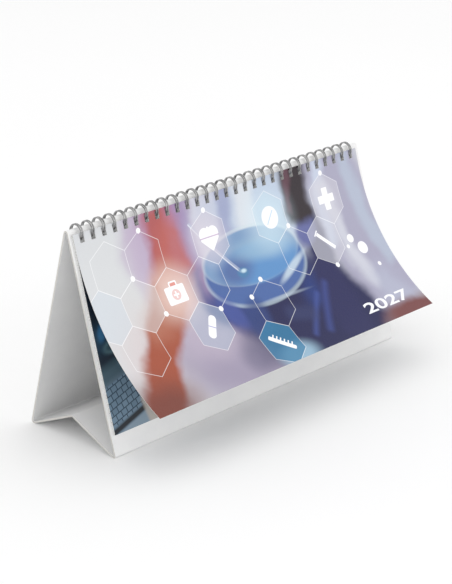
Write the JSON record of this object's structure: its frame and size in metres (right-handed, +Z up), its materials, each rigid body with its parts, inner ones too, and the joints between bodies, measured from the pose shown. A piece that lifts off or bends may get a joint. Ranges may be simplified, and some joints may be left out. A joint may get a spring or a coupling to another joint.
{
  "type": "flip desk calendar",
  "caption": "Tent-shaped folded card stand with a twin-loop wire along its ridge that carries a curled cover and month leaves.",
  "frame": {"origin": "middle of the flat under the front foot, on the table", "axes": "+X along the ridge, -Y out of the front of the calendar, +Z up"},
  "size_m": [0.255, 0.1092, 0.1325],
  "materials": {
    "stand_card": "white coated card, matt",
    "wire": "dark nickel plated wire",
    "cover_paper": "printed satin paper",
    "leaf_paper": "printed satin paper"
  },
  "bodies": {
    "stand_front": {"front_panel": "stand_card", "ridge_fold": "stand_card", "front_foot_fold": "stand_card", "wire_binding": "wire"},
    "base_front_half": {"base_front": "stand_card", "base_crease": "stand_card"},
    "base_rear_half": {"base_rear": "stand_card"},
    "stand_back": {"back_panel": "stand_card", "rear_foot_fold": "stand_card"},
    "ridge_flap_strip": {"ridge_flap": "stand_card"},
    "leaf_01": {"leaf_01": "leaf_paper"},
    "leaf_02": {"leaf_02": "leaf_paper"},
    "leaf_03": {"leaf_03": "leaf_paper"},
    "leaf_04": {"leaf_04": "leaf_paper"},
    "leaf_05": {"leaf_05": "leaf_paper"},
    "leaf_06": {"leaf_06": "leaf_paper"},
    "leaf_07": {"leaf_07": "leaf_paper"},
    "leaf_08": {"leaf_08": "leaf_paper"},
    "leaf_09": {"leaf_09": "leaf_paper"},
    "leaf_10": {"leaf_10": "leaf_paper"},
    "leaf_11": {"leaf_11": "leaf_paper"},
    "leaf_12": {"leaf_12": "leaf_paper"},
    "cover": {"cover_leaf": "cover_paper"}
  },
  "joints": [
    {"name": "stand_fold", "type": "hinge", "parent": "stand_front", "child": "base_front_half", "pos_m": [0, 0, 0.00165], "axis": [1, 0, 0], "range_deg": [0, 50.24]},
    {"name": "crease_turn", "type": "hinge", "parent": "base_front_half", "child": "base_rear_half", "pos_m": [0, 0.03509, 0.0149], "axis": [-1, 0, 0], "range_deg": [0, 128.62]},
    {"name": "rear_foot_turn", "type": "hinge", "parent": "base_rear_half", "child": "stand_back", "pos_m": [0, 0.07018, 0.00165], "axis": [1, 0, 0], "range_deg": [0, 50.24]},
    {"name": "ridge_turn", "type": "hinge", "parent": "stand_front", "child": "ridge_flap_strip", "pos_m": [0, 0.03509, 0.12818], "axis": [-1, 0, 0], "range_deg": [0, 28.15]},
    {"name": "page_fan", "type": "hinge", "parent": "stand_front", "child": "leaf_01", "pos_m": [0, 0.03509, 0.12737], "axis": [-1, 0, 0], "range_deg": [0, 108]},
    {"name": "page_02_turn", "type": "hinge", "parent": "stand_front", "child": "leaf_02", "pos_m": [0, 0.03509, 0.12737], "axis": [-1, 0, 0], "range_deg": [0, 99]},
    {"name": "page_03_turn", "type": "hinge", "parent": "stand_front", "child": "leaf_03", "pos_m": [0, 0.03509, 0.12737], "axis": [-1, 0, 0], "range_deg": [0, 90]},
    {"name": "page_04_turn", "type": "hinge", "parent": "stand_front", "child": "leaf_04", "pos_m": [0, 0.03509, 0.12737], "axis": [-1, 0, 0], "range_deg": [0, 81]},
    {"name": "page_05_turn", "type": "hinge", "parent": "stand_front", "child": "leaf_05", "pos_m": [0, 0.03509, 0.12737], "axis": [-1, 0, 0], "range_deg": [0, 72]},
    {"name": "page_06_turn", "type": "hinge", "parent": "stand_front", "child": "leaf_06", "pos_m": [0, 0.03509, 0.12737], "axis": [-1, 0, 0], "range_deg": [0, 63]},
    {"name": "page_07_turn", "type": "hinge", "parent": "stand_front", "child": "leaf_07", "pos_m": [0, 0.03509, 0.12737], "axis": [-1, 0, 0], "range_deg": [0, 54]},
    {"name": "page_08_turn", "type": "hinge", "parent": "stand_front", "child": "leaf_08", "pos_m": [0, 0.03509, 0.12737], "axis": [-1, 0, 0], "range_deg": [0, 45]},
    {"name": "page_09_turn", "type": "hinge", "parent": "stand_front", "child": "leaf_09", "pos_m": [0, 0.03509, 0.12737], "axis": [-1, 0, 0], "range_deg": [0, 36]},
    {"name": "page_10_turn", "type": "hinge", "parent": "stand_front", "child": "leaf_10", "pos_m": [0, 0.03509, 0.12737], "axis": [-1, 0, 0], "range_deg": [0, 27]},
    {"name": "page_11_turn", "type": "hinge", "parent": "stand_front", "child": "leaf_11", "pos_m": [0, 0.03509, 0.12737], "axis": [-1, 0, 0], "range_deg": [0, 18]},
    {"name": "page_12_turn", "type": "hinge", "parent": "stand_front", "child": "leaf_12", "pos_m": [0, 0.03509, 0.12737], "axis": [-1, 0, 0], "range_deg": [0, 9]},
    {"name": "cover_turn", "type": "hinge", "parent": "leaf_01", "child": "cover", "pos_m": [0, 0.03509, 0.12737], "axis": [-1, 0, 0], "range_deg": [0, 100]}
  ],
  "couplings": [
    {"joint": "crease_turn", "follows": "stand_fold", "ratio": 2.5603},
    {"joint": "rear_foot_turn", "follows": "stand_fold", "ratio": 1},
    {"joint": "ridge_turn", "follows": "stand_fold", "ratio": 0.56026},
    {"joint": "page_02_turn", "follows": "page_fan", "ratio": 0.91666},
    {"joint": "page_03_turn", "follows": "page_fan", "ratio": 0.83333},
    {"joint": "page_04_turn", "follows": "page_fan", "ratio": 0.74999},
    {"joint": "page_05_turn", "follows": "page_fan", "ratio": 0.66666},
    {"joint": "page_06_turn", "follows": "page_fan", "ratio": 0.58333},
    {"joint": "page_07_turn", "follows": "page_fan", "ratio": 0.5},
    {"joint": "page_08_turn", "follows": "page_fan", "ratio": 0.41666},
    {"joint": "page_09_turn", "follows": "page_fan", "ratio": 0.33333},
    {"joint": "page_10_turn", "follows": "page_fan", "ratio": 0.24999},
    {"joint": "page_11_turn", "follows": "page_fan", "ratio": 0.16666},
    {"joint": "page_12_turn", "follows": "page_fan", "ratio": 0.08333}
  ]
}
